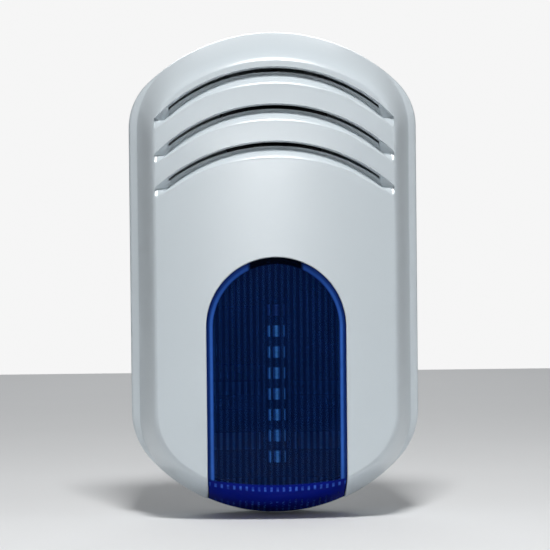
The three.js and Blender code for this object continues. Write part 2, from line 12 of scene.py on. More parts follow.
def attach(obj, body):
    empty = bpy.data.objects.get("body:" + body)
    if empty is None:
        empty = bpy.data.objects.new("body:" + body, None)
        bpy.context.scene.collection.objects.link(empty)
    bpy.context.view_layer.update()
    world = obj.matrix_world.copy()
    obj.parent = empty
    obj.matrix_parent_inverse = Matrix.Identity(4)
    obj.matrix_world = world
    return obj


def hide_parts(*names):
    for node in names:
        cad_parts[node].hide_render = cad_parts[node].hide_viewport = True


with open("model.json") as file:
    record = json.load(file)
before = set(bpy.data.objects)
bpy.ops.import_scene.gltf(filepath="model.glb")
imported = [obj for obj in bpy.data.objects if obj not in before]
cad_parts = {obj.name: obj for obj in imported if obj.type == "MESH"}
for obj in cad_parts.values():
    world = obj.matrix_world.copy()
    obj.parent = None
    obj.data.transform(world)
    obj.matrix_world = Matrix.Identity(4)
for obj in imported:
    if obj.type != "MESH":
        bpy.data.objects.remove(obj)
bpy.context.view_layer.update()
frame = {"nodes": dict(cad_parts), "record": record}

# ---------------------------------------------------------------- driving values, mm
DEPTH, WALL = 78.0, 2.6
SKIRT_BACK, SKIRT_FRONT = -5.0, -27.0
CREASE_Y, FACE_Y = -34.0, -74.0
SKIRT = np.array([102, 170, 127, 44, -170, 120, 50], float)
SKIRT_F = np.array([101.4, 169.9, 126.6, 43.6, -169.9, 119.6, 49.6])
SHOULDER = np.array([99.6, 169.5, 126.4, 46, -169.5, 119.4, 51])
DOME = np.array([95.3, 169, 126, 54, -169, 119, 54], float)
FACE = np.array([82, 147.2, 116, 45, -151.5, 110, 45])
SPINE_TOP, SPINE_BOTTOM = 60.0, -70.0
FRONT_Y = -77.84
TRAY = np.array([98, 149, 170, 60, -166, 116.6, 46.6])
TRAY_WALL, TRAY_DEPTH, FLOOR = 2.2, 18.0, 2.5
LOUVRES = [(143.5, 115.0), (117.9, 117.6), (92.2, 124.0)]
LOUVRE_HALF, SLIT_HALF, SLIT, LOUVRE_DEEP = 82.8, 72.8, 2.1, 7.0
LENS_HALF, LENS_ARCH_Z, LENS_BACK = 48.4, -36.3, -24.5
HINGE_Y, HINGE_Z = -13.0, 160.0
LED_PITCH, LED_TOP, LED_SIZE = 14.7, -25.2, 7.6

# ---------------------------------------------------------------- outlines
SEG = (20, 26, 8, 26, 20)


def half(o, seg=SEG):
    hw, zt, Rt, rt, zb, Rb, rb = o
    at = math.asin((hw - rt) / (Rt - rt)); ct = zt - Rt; kt = ct + (Rt - rt) * math.cos(at)
    ab = math.asin((hw - rb) / (Rb - rb)); cb = zb + Rb; kb = cb - (Rb - rb) * math.cos(ab)
    p = []
    for i in range(seg[0]):
        a = at * i / seg[0]; p.append((Rt * math.sin(a), ct + Rt * math.cos(a)))
    for i in range(seg[1]):
        a = at + (math.pi / 2 - at) * i / seg[1]; p.append((hw - rt + rt * math.sin(a), kt + rt * math.cos(a)))
    for i in range(seg[2]):
        p.append((hw, kt + (kb - kt) * i / seg[2]))
    for i in range(seg[3]):
        a = math.pi / 2 - (math.pi / 2 - ab) * i / seg[3]; p.append((hw - rb + rb * math.sin(a), kb - rb * math.cos(a)))
    for i in range(seg[4] + 1):
        a = ab * (1 - i / seg[4]); p.append((Rb * math.sin(a), cb - Rb * math.cos(a)))
    return p


def ring(o, y, seg=SEG):
    h = half(o, seg)
    left = [(-x, z) for x, z in h[1:-1]][::-1]
    return np.array([(x, y, z) for x, z in h + left])


def inset(o, d):
    return np.asarray(o) + np.array([-1, -1, -1, -1, 1, -1, -1]) * d


def mix(a, b, t):
    return np.asarray(a) + (np.asarray(b) - np.asarray(a)) * t


PF = np.array([0, 0.25, 0.51, 0.71, 0.86, 1.0])
PG = np.array([0, 0.345, 0.665, 0.862, 0.962, 1.0])
_h = np.diff(PF); _d = np.diff(PG) / _h
_m = np.concatenate([[1.42], 2 * _d[:-1] * _d[1:] / (_d[:-1] + _d[1:]), [0.07]])


def prof(f):
    f = np.clip(np.asarray(f, float), 0, 1)
    i = np.clip(np.searchsorted(PF, f, side="right") - 1, 0, len(_h) - 1)
    t = (f - PF[i]) / _h[i]
    return ((1 + 2 * t) * (1 - t) ** 2) * PG[i] + t * (1 - t) ** 2 * _h[i] * _m[i] + t * t * (3 - 2 * t) * PG[i + 1] + t * t * (t - 1) * _h[i] * _m[i + 1]


def face_outline(k):
    return np.array([FACE[0] * k, SPINE_TOP + (FACE[1] - SPINE_TOP) * k, FACE[2] * k, FACE[3] * k, SPINE_BOTTOM + (FACE[4] - SPINE_BOTTOM) * k, FACE[5] * k, FACE[6] * k])


def half_width(o, z):
    """Half width of outlines o (7, n) at heights z (n)."""
    hw, zt, Rt, rt, zb, Rb, rb = o
    ca = np.clip((hw - rt) / (Rt - rt), -1, 1); ct = zt - Rt; cosa = np.sqrt(1 - ca * ca); kt = ct + (Rt - rt) * cosa
    cc = np.clip((hw - rb) / (Rb - rb), -1, 1); cb = zb + Rb; cosb = np.sqrt(1 - cc * cc); kb = cb - (Rb - rb) * cosb
    w = np.where(z > kt, np.where(z > kt + rt * cosa, np.sqrt(np.maximum(0, Rt * Rt - (z - ct) ** 2)), hw - rt + np.sqrt(np.maximum(0, rt * rt - (z - kt) ** 2))),
                 np.where(z < kb, np.where(z < kb - rb * cosb, np.sqrt(np.maximum(0, Rb * Rb - (z - cb) ** 2)), hw - rb + np.sqrt(np.maximum(0, rb * rb - (z - kb) ** 2))), hw))
    return np.where((z >= zt) | (z <= zb), 0.0, w)


def _outl(base, n):
    return np.repeat(np.asarray(base)[:, None], n, 1)


def surf(x, z, d=0.0):
    """y of the cover surface, set in by d, over points of the front."""
    x = np.maximum(np.abs(np.atleast_1d(np.asarray(x, float))), 1e-5); z = np.atleast_1d(np.asarray(z, float))
    x, z = np.broadcast_arrays(x, z); n = x.size
    d = np.broadcast_to(np.asarray(d, float), (n,)) if np.ndim(d) else np.full(n, float(d))
    sh = np.array([-1, -1, -1, -1, 1, -1, -1], float)[:, None]
    lo, hi = np.full(n, 1e-3), np.full(n, 1.0)
    F = FACE[:, None]

    def fo(k):
        b = np.stack([F[0] * k, SPINE_TOP + (F[1] - SPINE_TOP) * k, F[2] * k, F[3] * k, SPINE_BOTTOM + (F[4] - SPINE_BOTTOM) * k, F[5] * k, F[6] * k])
        return b + sh * (d * np.maximum(0, k - 0.2) / 0.8)
    inface = x <= half_width(fo(np.ones(n)), z)
    for _ in range(26):
        k = (lo + hi) / 2
        inside = x <= half_width(fo(k), z)
        hi = np.where(inside, k, hi); lo = np.where(inside, lo, k)
    yf = FRONT_Y + (FACE_Y - FRONT_Y) * hi * hi + d
    lo, hi = np.zeros(n), np.ones(n)
    for _ in range(26):
        f = (lo + hi) / 2
        inside = x <= half_width(DOME[:, None] + (FACE - DOME)[:, None] * f + sh * d, z)
        lo = np.where(inside, f, lo); hi = np.where(inside, hi, f)
    g = prof(lo)
    yd = CREASE_Y + (FACE_Y - CREASE_Y) * g + d * (0.3 + 0.6 * g)
    return np.where(inface, yf, yd)


# ---------------------------------------------------------------- mesh helpers
scene = bpy.context.scene
REPORT = []


def make(name, verts, faces):
    me = bpy.data.meshes.new(name)
    me.from_pydata((np.asarray(verts, float) * 0.001).tolist(), [], [[int(i) for i in f] for f in faces])
    bm = bmesh.new(); bm.from_mesh(me)
    bmesh.ops.recalc_face_normals(bm, faces=bm.faces)
    bm.to_mesh(me); bm.free()
    o = bpy.data.objects.new(name, me)
    scene.collection.objects.link(o)
    return o


def loft(rings, name="tool", tube=False):
    n = len(rings[0]); R = len(rings); v = np.concatenate(rings); f = []
    for r in range(R if tube else R - 1):
        a, b = r * n, ((r + 1) % R) * n
        for i in range(n):
            j = (i + 1) % n
            f.append((a + i, a + j, b + j, b + i))
    if not tube:
        for base in (0, (R - 1) * n):
            for i in range(n // 2):
                a, b, c, d = base + i, base + i + 1, base + (n - i - 1) % n, base + (n - i) % n
                q = []
                for t in (a, b, c, d):
                    if t not in q:
                        q.append(t)
                if len(q) > 2:
                    f.append(q)
    return make(name, v, f)


def sections(rows, name="tool"):
    """A closed body through closed sections of equal count, with flat end caps."""
    n = len(rows[0]); R = len(rows); v = np.concatenate(rows); f = []
    for r in range(R - 1):
        for i in range(n):
            j = (i + 1) % n
            f.append((r * n + i, r * n + j, (r + 1) * n + j, (r + 1) * n + i))
    f.append(list(range(n))); f.append([(R - 1) * n + i for i in range(n)])
    return make(name, v, f)


def box(x0, x1, y0, y1, z0, z1):
    xs, ys, zs = sorted((x0, x1)), sorted((y0, y1)), sorted((z0, z1))
    v = [(x, y, z) for x in xs for y in ys for z in zs]
    return make("tool", v, [(0, 1, 3, 2), (4, 6, 7, 5), (0, 4, 5, 1), (2, 3, 7, 6), (0, 2, 6, 4), (1, 5, 7, 3)])


def turn(axis, c, pairs, n=48, name="tool", closed=True):
    """A turned body: pairs of (radius, position along the axis). c is the centre in the other two coordinates."""
    pts, first = [], []
    for r, t in pairs:
        first.append(len(pts))
        if r < 1e-6:
            pts.append((0, 0, t))
        else:
            pts += [(r * math.cos(2 * math.pi * i / n), r * math.sin(2 * math.pi * i / n), t) for i in range(n)]
    f = []
    loop = len(pairs) if pairs[0] != pairs[-1] and pairs[0][0] > 1e-6 and pairs[-1][0] > 1e-6 and closed else len(pairs) - 1
    for k in range(loop):
        r0, r1 = pairs[k][0], pairs[(k + 1) % len(pairs)][0]; a, b = first[k], first[(k + 1) % len(pairs)]
        for i in range(n):
            j = (i + 1) % n
            if r0 < 1e-6 and r1 < 1e-6:
                continue
            if r0 < 1e-6:
                f.append((a, b + i, b + j))
            elif r1 < 1e-6:
                f.append((a + i, a + j, b))
            else:
                f.append((a + i, a + j, b + j, b + i))
    P = np.array(pts, float); u, w = c
    if axis == "y":
        v = np.stack([u + P[:, 0], P[:, 2], w + P[:, 1]], 1)
    elif axis == "x":
        v = np.stack([P[:, 2], u + P[:, 0], w + P[:, 1]], 1)
    else:
        v = np.stack([u + P[:, 0], w + P[:, 1], P[:, 2]], 1)
    return make(name, v, f)


def rod(axis, c, t0, t1, r, n=40, e=0.0, name="tool"):
    """A round rod with its edges broken by e."""
    t0, t1 = sorted((t0, t1))
    if e > 0:
        pairs = [(0, t0), (r - e, t0), (r - e * 0.3, t0 + e * 0.3), (r, t0 + e), (r, t1 - e), (r - e * 0.3, t1 - e * 0.3), (r - e, t1), (0, t1)]
    else:
        pairs = [(0, t0), (r, t0), (r, t1), (0, t1)]
    return turn(axis, c, pairs, n, name)


def csg(base, ops, name=None):
    for i, (op, t) in enumerate(ops):
        m = base.modifiers.new("b%d" % i, "BOOLEAN")
        m.operation = op; m.object = t; m.solver = "MANIFOLD"
    bpy.context.view_layer.update()
    dg = bpy.context.evaluated_depsgraph_get()
    me = bpy.data.meshes.new_from_object(base.evaluated_get(dg), depsgraph=dg)
    base.modifiers.clear()
    old = base.data; base.data = me; bpy.data.meshes.remove(old)
    for _, t in ops:
        drop(t)
    if name:
        base.name = name; me.name = name
    bm = bmesh.new(); bm.from_mesh(me)
    REPORT.append((base.name, len(me.polygons), round(bm.calc_volume() * 1e6, 3), sum(1 for e in bm.edges if not e.is_manifold)))
    bm.free()
    return base


def drop(o):
    me = o.data
    bpy.data.objects.remove(o)
    if me.users == 0:
        bpy.data.meshes.remove(me)


def copy_of(o):
    c = o.copy(); c.data = o.data.copy(); scene.collection.objects.link(c)
    return c


ADD, CUT, AND = "UNION", "DIFFERENCE", "INTERSECT"


def smooth(obj, angle=35.0, ref=None, tol=0.00003, ref_dot=0.97):
    """Split normals: faces that lie on the reference surface take its normals, the rest are smoothed below the angle."""
    me = obj.data
    nl, nf = len(me.loops), len(me.polygons)
    fn = np.zeros(nf * 3); me.polygons.foreach_get("normal", fn); fn = fn.reshape(-1, 3)
    area = np.zeros(nf); me.polygons.foreach_get("area", area)
    vi = np.zeros(nl, int); me.loops.foreach_get("vertex_index", vi)
    tot = np.zeros(nf, int); me.polygons.foreach_get("loop_total", tot)
    lf = np.repeat(np.arange(nf), tot)
    order = np.argsort(vi, kind="stable"); svi = vi[order]
    start = np.searchsorted(svi, np.arange(len(me.vertices) + 1))
    out = np.array(fn[lf]); cosa = math.cos(math.radians(angle))
    weight = np.sqrt(np.maximum(area, 1e-14))
    for v in range(len(me.vertices)):
        ls = order[start[v]:start[v + 1]]
        if len(ls) < 2:
            continue
        N = fn[lf[ls]]
        W = (N @ N.T > cosa) * weight[lf[ls]][None, :]
        S = W @ N
        L = np.linalg.norm(S, axis=1)
        ok = L > 1e-12
        out[ls[ok]] = S[ok] / L[ok, None]
    if ref is not None:
        rm = ref.data
        tree = BVHTree.FromPolygons([v.co[:] for v in rm.vertices], [tuple(p.vertices) for p in rm.polygons])
        vn = np.zeros(len(rm.vertices) * 3)
        rm.vertices.foreach_get("normal", vn); vn = vn.reshape(-1, 3)
        cache = {}
        cen = np.zeros(nf * 3); me.polygons.foreach_get("center", cen); cen = cen.reshape(-1, 3)
        starts = np.zeros(nf, int); me.polygons.foreach_get("loop_start", starts)
        for p in range(nf):
            loc, nor, fi, dist = tree.find_nearest(Vector(cen[p]))
            if fi is None or dist > tol or nor.dot(Vector(fn[p])) < ref_dot:
                continue
            for li in range(starts[p], starts[p] + tot[p]):
                v = vi[li]
                if v not in cache:
                    l2, n2, f2, d2 = tree.find_nearest(me.vertices[v].co)
                    if f2 is None or d2 > 4 * tol:
                        cache[v] = None
                    else:
                        idx = rm.polygons[f2].vertices
                        w = poly_3d_calc([rm.vertices[i].co for i in idx], l2)
                        nn = sum((wi * vn[i] for wi, i in zip(w, idx)), np.zeros(3))
                        ln = np.linalg.norm(nn)
                        cache[v] = nn / ln if ln > 1e-9 else None
                if cache[v] is not None:
                    out[li] = cache[v]
    for p in me.polygons:
        p.use_smooth = True
    me.normals_split_custom_set(out.tolist())
    return obj


# ---------------------------------------------------------------- materials
def srgb(r, g, b):
    return tuple(((c / 255 / 12.92) if c / 255 <= 0.04045 else ((c / 255 + 0.055) / 1.055) ** 2.4) for c in (r, g, b)) + (1.0,)


class Tree:
    def __init__(self, name):
        self.m = bpy.data.materials.new(name)
        self.m.use_nodes = True
        self.t = self.m.node_tree
        self.t.nodes.clear()
        self.out = self.t.nodes.new("ShaderNodeOutputMaterial")

    def n(self, kind, **kw):
        node = self.t.nodes.new("ShaderNode" + kind)
        for k, v in kw.items():
            setattr(node, k, v)
        return node

    def l(self, a, b):
        self.t.links.new(a, b)

    def value(self, v):
        x = self.n("Value"); x.outputs[0].default_value = v
        return x.outputs[0]

    def math(self, op, a, b=None, clamp=False):
        x = self.n("Math", operation=op, use_clamp=clamp)
        for i, v in enumerate((a, b)):
            if v is None:
                continue
            if isinstance(v, (int, float)):
                x.inputs[i].default_value = v
            else:
                self.l(v, x.inputs[i])
        return x.outputs[0]

    def noise(self, scale, detail=3, rough=0.5, vec=None):
        x = self.n("TexNoise")
        x.inputs["Scale"].default_value = scale; x.inputs["Detail"].default_value = detail; x.inputs["Roughness"].default_value = rough
        self.l(vec if vec is not None else self.coord(), x.inputs["Vector"])
        return x.outputs["Fac"]

    def coord(self):
        if not hasattr(self, "_c"):
            self._c = self.n("TexCoord")
        return self._c.outputs["Object"]

    def mixc(self, fac, a, b):
        x = self.n("Mix", data_type="RGBA")
        for sock, v in ((x.inputs[0], fac), (x.inputs[6], a), (x.inputs[7], b)):
            if isinstance(v, (int, float, tuple)):
                sock.default_value = v
            else:
                self.l(v, sock)
        return x.outputs[2]

    def range(self, v, a0, a1, b0, b1):
        x = self.n("MapRange"); x.clamp = True
        for i, s in enumerate((v, a0, a1, b0, b1)):
            if isinstance(s, (int, float)):
                x.inputs[i].default_value = s
            else:
                self.l(s, x.inputs[i])
        return x.outputs[0]

    def bump(self, height, strength=0.2, distance=0.0001, normal=None):
        x = self.n("Bump"); x.inputs["Strength"].default_value = strength; x.inputs["Distance"].default_value = distance
        self.l(height, x.inputs["Height"])
        if normal is not None:
            self.l(normal, x.inputs["Normal"])
        return x.outputs[0]

    def principled(self, **kw):
        p = self.n("BsdfPrincipled")
        for k, v in kw.items():
            s = p.inputs[k.replace("_", " ")]
            if isinstance(v, (int, float, tuple)):
                s.default_value = v
            else:
                self.l(v, s)
        return p


MATS = {}


def plastic(name, col, rough=0.45, vary=0.04, grain=0.05, grain_scale=2200.0, coat=0.0, spec=0.5, dust=0.0, peel=0.0, wander=0.05):
    t = Tree(name)
    big = t.noise(28, 4, 0.6); fine = t.noise(grain_scale, 2, 0.5)
    dark = tuple(c * (1 - vary) for c in col[:3]) + (1,); light = tuple(min(1, c * (1 + vary * 0.6)) for c in col[:3]) + (1,)
    c = t.mixc(t.range(big, 0.3, 0.7, 0, 1), dark, light)
    if dust:
        g = t.n("NewGeometry"); sep = t.n("SeparateXYZ"); t.l(g.outputs["Normal"], sep.inputs[0])
        up = t.range(sep.outputs[2], 0.5, 1.0, 0, dust)
        c = t.mixc(t.math("MULTIPLY", up, t.noise(160, 4, 0.6)), c, (0.45, 0.43, 0.40, 1))
    r = t.math("ADD", t.range(t.noise(90, 3, 0.6), 0.3, 0.7, rough - wander, rough + wander), t.math("MULTIPLY", t.math("SUBTRACT", fine, 0.5), 1.6 * wander))
    h = fine
    nrm = t.bump(h, grain, 0.00008)
    if peel:
        nrm = t.bump(t.noise(240, 2, 0.4), peel, 0.0002, nrm)
    p = t.principled(Base_Color=c, Roughness=r, Normal=nrm, Coat_Weight=coat, Coat_Roughness=0.15)
    p.inputs["Specular IOR Level"].default_value = spec
    t.l(p.outputs[0], t.out.inputs[0])
    MATS[name] = t.m
    return t.m


def metal(name, col, rough=0.3, brushed=None, scale=900.0):
    t = Tree(name)
    vec = t.coord()
    if brushed:
        mp = t.n("Mapping"); t.l(vec, mp.inputs[0]); mp.inputs["Scale"].default_value = brushed; vec = mp.outputs[0]
    s = t.noise(scale, 3, 0.6, vec)
    stain = t.noise(140, 4, 0.6)
    c = t.mixc(t.range(stain, 0.45, 0.75, 0, 0.5), col, tuple(x * 0.72 for x in col[:3]) + (1,))
    r = t.math("ADD", t.range(s, 0.3, 0.7, rough - 0.08, rough + 0.08), t.math("MULTIPLY", stain, 0.06))
    p = t.principled(Base_Color=c, Metallic=1.0, Roughness=r, Normal=t.bump(s, 0.12, 0.00006))
    t.l(p.outputs[0], t.out.inputs[0])
    MATS[name] = t.m
    return t.m


def rubber(name, col, rough=0.75):
    t = Tree(name)
    s = t.noise(1500, 3, 0.6); b = t.noise(60, 3, 0.5)
    c = t.mixc(t.range(b, 0.35, 0.7, 0, 1), col, tuple(min(1, x * 1.9 + 0.006) for x in col[:3]) + (1,))
    p = t.principled(Base_Color=c, Roughness=t.range(s, 0.3, 0.7, rough - 0.08, rough + 0.1), Normal=t.bump(s, 0.22, 0.0001))
    p.inputs["Specular IOR Level"].default_value = 0.35
    p.inputs["Sheen Weight"].default_value = 0.08
    t.l(p.outputs[0], t.out.inputs[0])
    MATS[name] = t.m
    return t.m


def glass(name, col, rough=0.03, trans=0.7, diffuse=(0.8, 0.85, 0.9, 1), painted_led_glow=0.0):
    t = Tree(name)
    tr = t.n("BsdfTransparent"); tr.inputs[0].default_value = col
    df = t.n("BsdfDiffuse"); df.inputs[0].default_value = diffuse
    gl = t.n("BsdfGlossy"); gl.inputs["Roughness"].default_value = rough
    t.l(t.bump(t.noise(500, 2, 0.5), 0.05, 0.0001), gl.inputs["Normal"])
    m1 = t.n("MixShader"); m1.inputs[0].default_value = trans
    t.l(df.outputs[0], m1.inputs[1]); t.l(tr.outputs[0], m1.inputs[2])
    fr = t.n("Fresnel"); fr.inputs[0].default_value = 1.5
    m2 = t.n("MixShader"); t.l(t.math("MULTIPLY", fr.outputs[0], 0.9), m2.inputs[0])
    t.l(m1.outputs[0], m2.inputs[1]); t.l(gl.outputs[0], m2.inputs[2])
    last = m2.outputs[0]
    # painted light: the unlit LEDs glow by emission in place of the light they reflect; the topmost LED's glow is cut
    # and turned purple as painted shade under the arch
    if painted_led_glow:
        sep = t.n("SeparateXYZ"); t.l(t.coord(), sep.inputs[0])
        top_led_shade = t.range(sep.outputs[2], -0.034, -0.031, 0, 1)
        e = t.n("Emission"); t.l(t.mixc(top_led_shade, (0.72, 0.84, 1.0, 1), (0.75, 0.45, 0.9, 1)), e.inputs[0])
        t.l(t.math("MULTIPLY", t.math("SUBTRACT", 1.0, t.math("MULTIPLY", top_led_shade, 0.8)), painted_led_glow), e.inputs[1])
        a = t.n("AddShader"); t.l(last, a.inputs[0]); t.l(e.outputs[0], a.inputs[1]); last = a.outputs[0]
    t.l(last, t.out.inputs[0])
    MATS[name] = t.m
    return t.m


plastic("cover_white", (0.555, 0.615, 0.655, 1), rough=0.285, spec=0.9, vary=0.008, grain=0.004, peel=0.003, wander=0.003)
plastic("plate_white", (0.60, 0.62, 0.63, 1), rough=0.5, vary=0.03, grain=0.08, dust=0.05)
rubber("black_rubber", (0.012, 0.012, 0.013, 1))
metal("screw_steel", (0.62, 0.63, 0.64, 1), rough=0.28)
metal("strap_steel", (0.60, 0.61, 0.62, 1), rough=0.32, brushed=(0.15, 1, 3))
plastic("horn_black", (0.014, 0.014, 0.016, 1), rough=0.42, vary=0.2, grain=0.12)
metal("piezo_brass", (0.78, 0.56, 0.24, 1), rough=0.3, brushed=(1, 1, 1))
metal("terminal_brass", (0.76, 0.60, 0.30, 1), rough=0.3)
plastic("terminal_green", (0.035, 0.21, 0.075, 1), rough=0.4, vary=0.08)
plastic("ferrite", (0.035, 0.033, 0.035, 1), rough=0.55, vary=0.25, grain=0.3, grain_scale=1400)
plastic("capacitor_sleeve", (0.012, 0.022, 0.12, 1), rough=0.3, vary=0.1, coat=0.3)
plastic("chip_black", (0.017, 0.017, 0.018, 1), rough=0.5, vary=0.15, grain=0.2)
plastic("relay_black", (0.02, 0.02, 0.022, 1), rough=0.3, vary=0.1, grain=0.05)
plastic("socket_cream", (0.72, 0.68, 0.56, 1), rough=0.45, vary=0.05)
plastic("bracket_black", (0.012, 0.0125, 0.014, 1), rough=0.5, vary=0.15, grain=0.15)
plastic("battery_case", (0.028, 0.032, 0.038, 1), rough=0.45, vary=0.12, grain=0.25, grain_scale=1200)
plastic("lead_red", (0.42, 0.012, 0.01, 1), rough=0.38, vary=0.08)
plastic("lead_black", (0.012, 0.012, 0.013, 1), rough=0.4, vary=0.1)
plastic("plunger_red", (0.48, 0.02, 0.015, 1), rough=0.35, vary=0.06)
glass("fuse_glass", (0.94, 0.97, 0.98, 1), trans=0.86)
# the clear LED material carries the painted glow (emission) that stands in for reflected light
glass("led_clear", (0.8, 0.88, 1.0, 1), trans=0.25, diffuse=(0.62, 0.72, 0.95, 1), painted_led_glow=0.42)


def board(name, base, track):
    """A printed board: solder mask over copper tracks, with a weave under it."""
    t = Tree(name)
    v = t.n("TexVoronoi", feature="DISTANCE_TO_EDGE", distance="MANHATTAN"); v.inputs["Scale"].default_value = 115
    t.l(t.coord(), v.inputs["Vector"])
    line = t.range(v.outputs["Distance"], 0.045, 0.06, 1, 0)
    w1 = t.n("TexWave", wave_type="BANDS", bands_direction="X"); w1.inputs["Scale"].default_value = 700; t.l(t.coord(), w1.inputs[0])
    w2 = t.n("TexWave", wave_type="BANDS", bands_direction="Z"); w2.inputs["Scale"].default_value = 700; t.l(t.coord(), w2.inputs[0])
    weave = t.math("ADD", w1.outputs["Fac"], w2.outputs["Fac"])
    c = t.mixc(line, base, track)
    c = t.mixc(t.math("MULTIPLY", t.noise(50, 3, 0.6), 0.35), c, tuple(x * 0.6 for x in base[:3]) + (1,))
    nrm = t.bump(weave, 0.05, 0.00004, t.bump(line, 0.25, 0.00005))
    p = t.principled(Base_Color=c, Roughness=0.32, Normal=nrm)
    t.l(p.outputs[0], t.out.inputs[0])
    MATS[name] = t.m


board("board_green", (0.006, 0.055, 0.022, 1), (0.02, 0.13, 0.05, 1))
board("led_board_black", (0.010, 0.011, 0.013, 1), (0.022, 0.024, 0.028, 1))


def coil(name):
    t = Tree(name)
    w = t.n("TexWave", wave_type="BANDS", bands_direction="Y"); w.inputs["Scale"].default_value = 520; w.inputs["Distortion"].default_value = 0.6
    t.l(t.coord(), w.inputs[0])
    c = t.mixc(w.outputs["Fac"], (0.10, 0.03, 0.012, 1), (0.62, 0.26, 0.11, 1))
    p = t.principled(Base_Color=c, Metallic=0.75, Roughness=0.34, Normal=t.bump(w.outputs["Fac"], 0.9, 0.0003))
    t.l(p.outputs[0], t.out.inputs[0])
    MATS[name] = t.m


coil("copper_coil")


# the blue lens: the outer skin is clear and lightly milky, the inner side carries the ribs
LENS = dict(clear=(0.15, 0.34, 0.52, 1), dark=(0.016, 0.06, 0.15, 1), inner=(0.50, 0.75, 0.95, 1))


def lens_zone(t):
    """Factors from the piece's own coordinates: side band, chin under the window, a painted shadow line along the
    border, the arch band that takes a painted shadow, rib stripes for painted rib shading, painted highlights at the
    rib ends and a painted highlight along the bevel.
    """
    sep = t.n("SeparateXYZ"); t.l(t.coord(), sep.inputs[0])
    x, z = t.math("ABSOLUTE", sep.outputs[0]), sep.outputs[2]
    zz = t.math("MAXIMUM", t.math("SUBTRACT", z, LENS_ARCH_Z / 1000), 0.0)
    rad = t.math("SQRT", t.math("ADD", t.math("MULTIPLY", x, x), t.math("MULTIPLY", zz, zz)))
    ring = t.range(rad, 0.0434, 0.0439, 0, 1)
    # painted highlight: a bright blue line along the inner edge of the side band, weaker towards the top of the arch,
    # stands in for light caught by the lens bevel
    painted_bevel_highlight = t.math("MULTIPLY", t.range(rad, 0.0437, 0.0445, 0, 1), t.range(rad, 0.0455, 0.0466, 1, 0))
    painted_bevel_highlight = t.math("MULTIPLY", painted_bevel_highlight, t.range(z, LENS_ARCH_Z / 1000 - 0.004, LENS_ARCH_Z / 1000 + 0.036, 1, 0.34))
    low = t.range(x, 0.0172, 0.0196, 0, 1)
    side = t.math("MULTIPLY", ring, low)
    # the arch band (the ring near the middle at the top) carries a painted shadow of the cover edge
    arch = t.math("MULTIPLY", ring, t.math("SUBTRACT", 1.0, low))
    painted_edge_shadow = t.range(rad, 0.0473, 0.0477, 0, 1)
    bow = t.math("SUBTRACT", z, t.math("MULTIPLY", t.math("MULTIPLY", x, x), 1.75))
    chin = t.range(bow, -0.1452, -0.1462, 0, 1)
    wave = t.math("COSINE", t.math("MULTIPLY", sep.outputs[0], 2 * math.pi / 0.0043))
    # painted shading: rib stripes, lighter on the crests and darker in the troughs, used in colour and see-through tint
    # to stand in for the light the ribs bend
    rib = t.range(wave, -0.45, 0.9, 0, 1)
    side = t.math("MULTIPLY", side, t.math("SUBTRACT", 1.0, chin))
    crest = t.range(wave, 0.1, 0.7, 0, 1)
    # painted highlights: a row of bright dots on the rib crests where the chin begins, for light caught by the rib
    # ends; the marks brighten specks on the rib crests near the chin's lower edge
    rib_end_highlights = t.math("MULTIPLY", t.range(bow, -0.1470, -0.1478, 0, 1), t.range(bow, -0.1508, -0.1498, 0, 1))
    rib_end_highlights = t.math("MULTIPLY", rib_end_highlights, t.range(t.noise(260, 2, 0.5), 0.36, 0.6, 0.3, 1))
    marks = t.math("MULTIPLY", t.range(z, -0.1575, -0.1590, 0, 1), t.range(t.noise(420, 2, 0.5), 0.5, 0.62, 0, 0.8))
    rib_end_highlights_and_marks = t.math("MULTIPLY", crest, t.math("ADD", rib_end_highlights, marks, clamp=True))
    return side, arch, painted_edge_shadow, chin, rib, rib_end_highlights_and_marks, painted_bevel_highlight


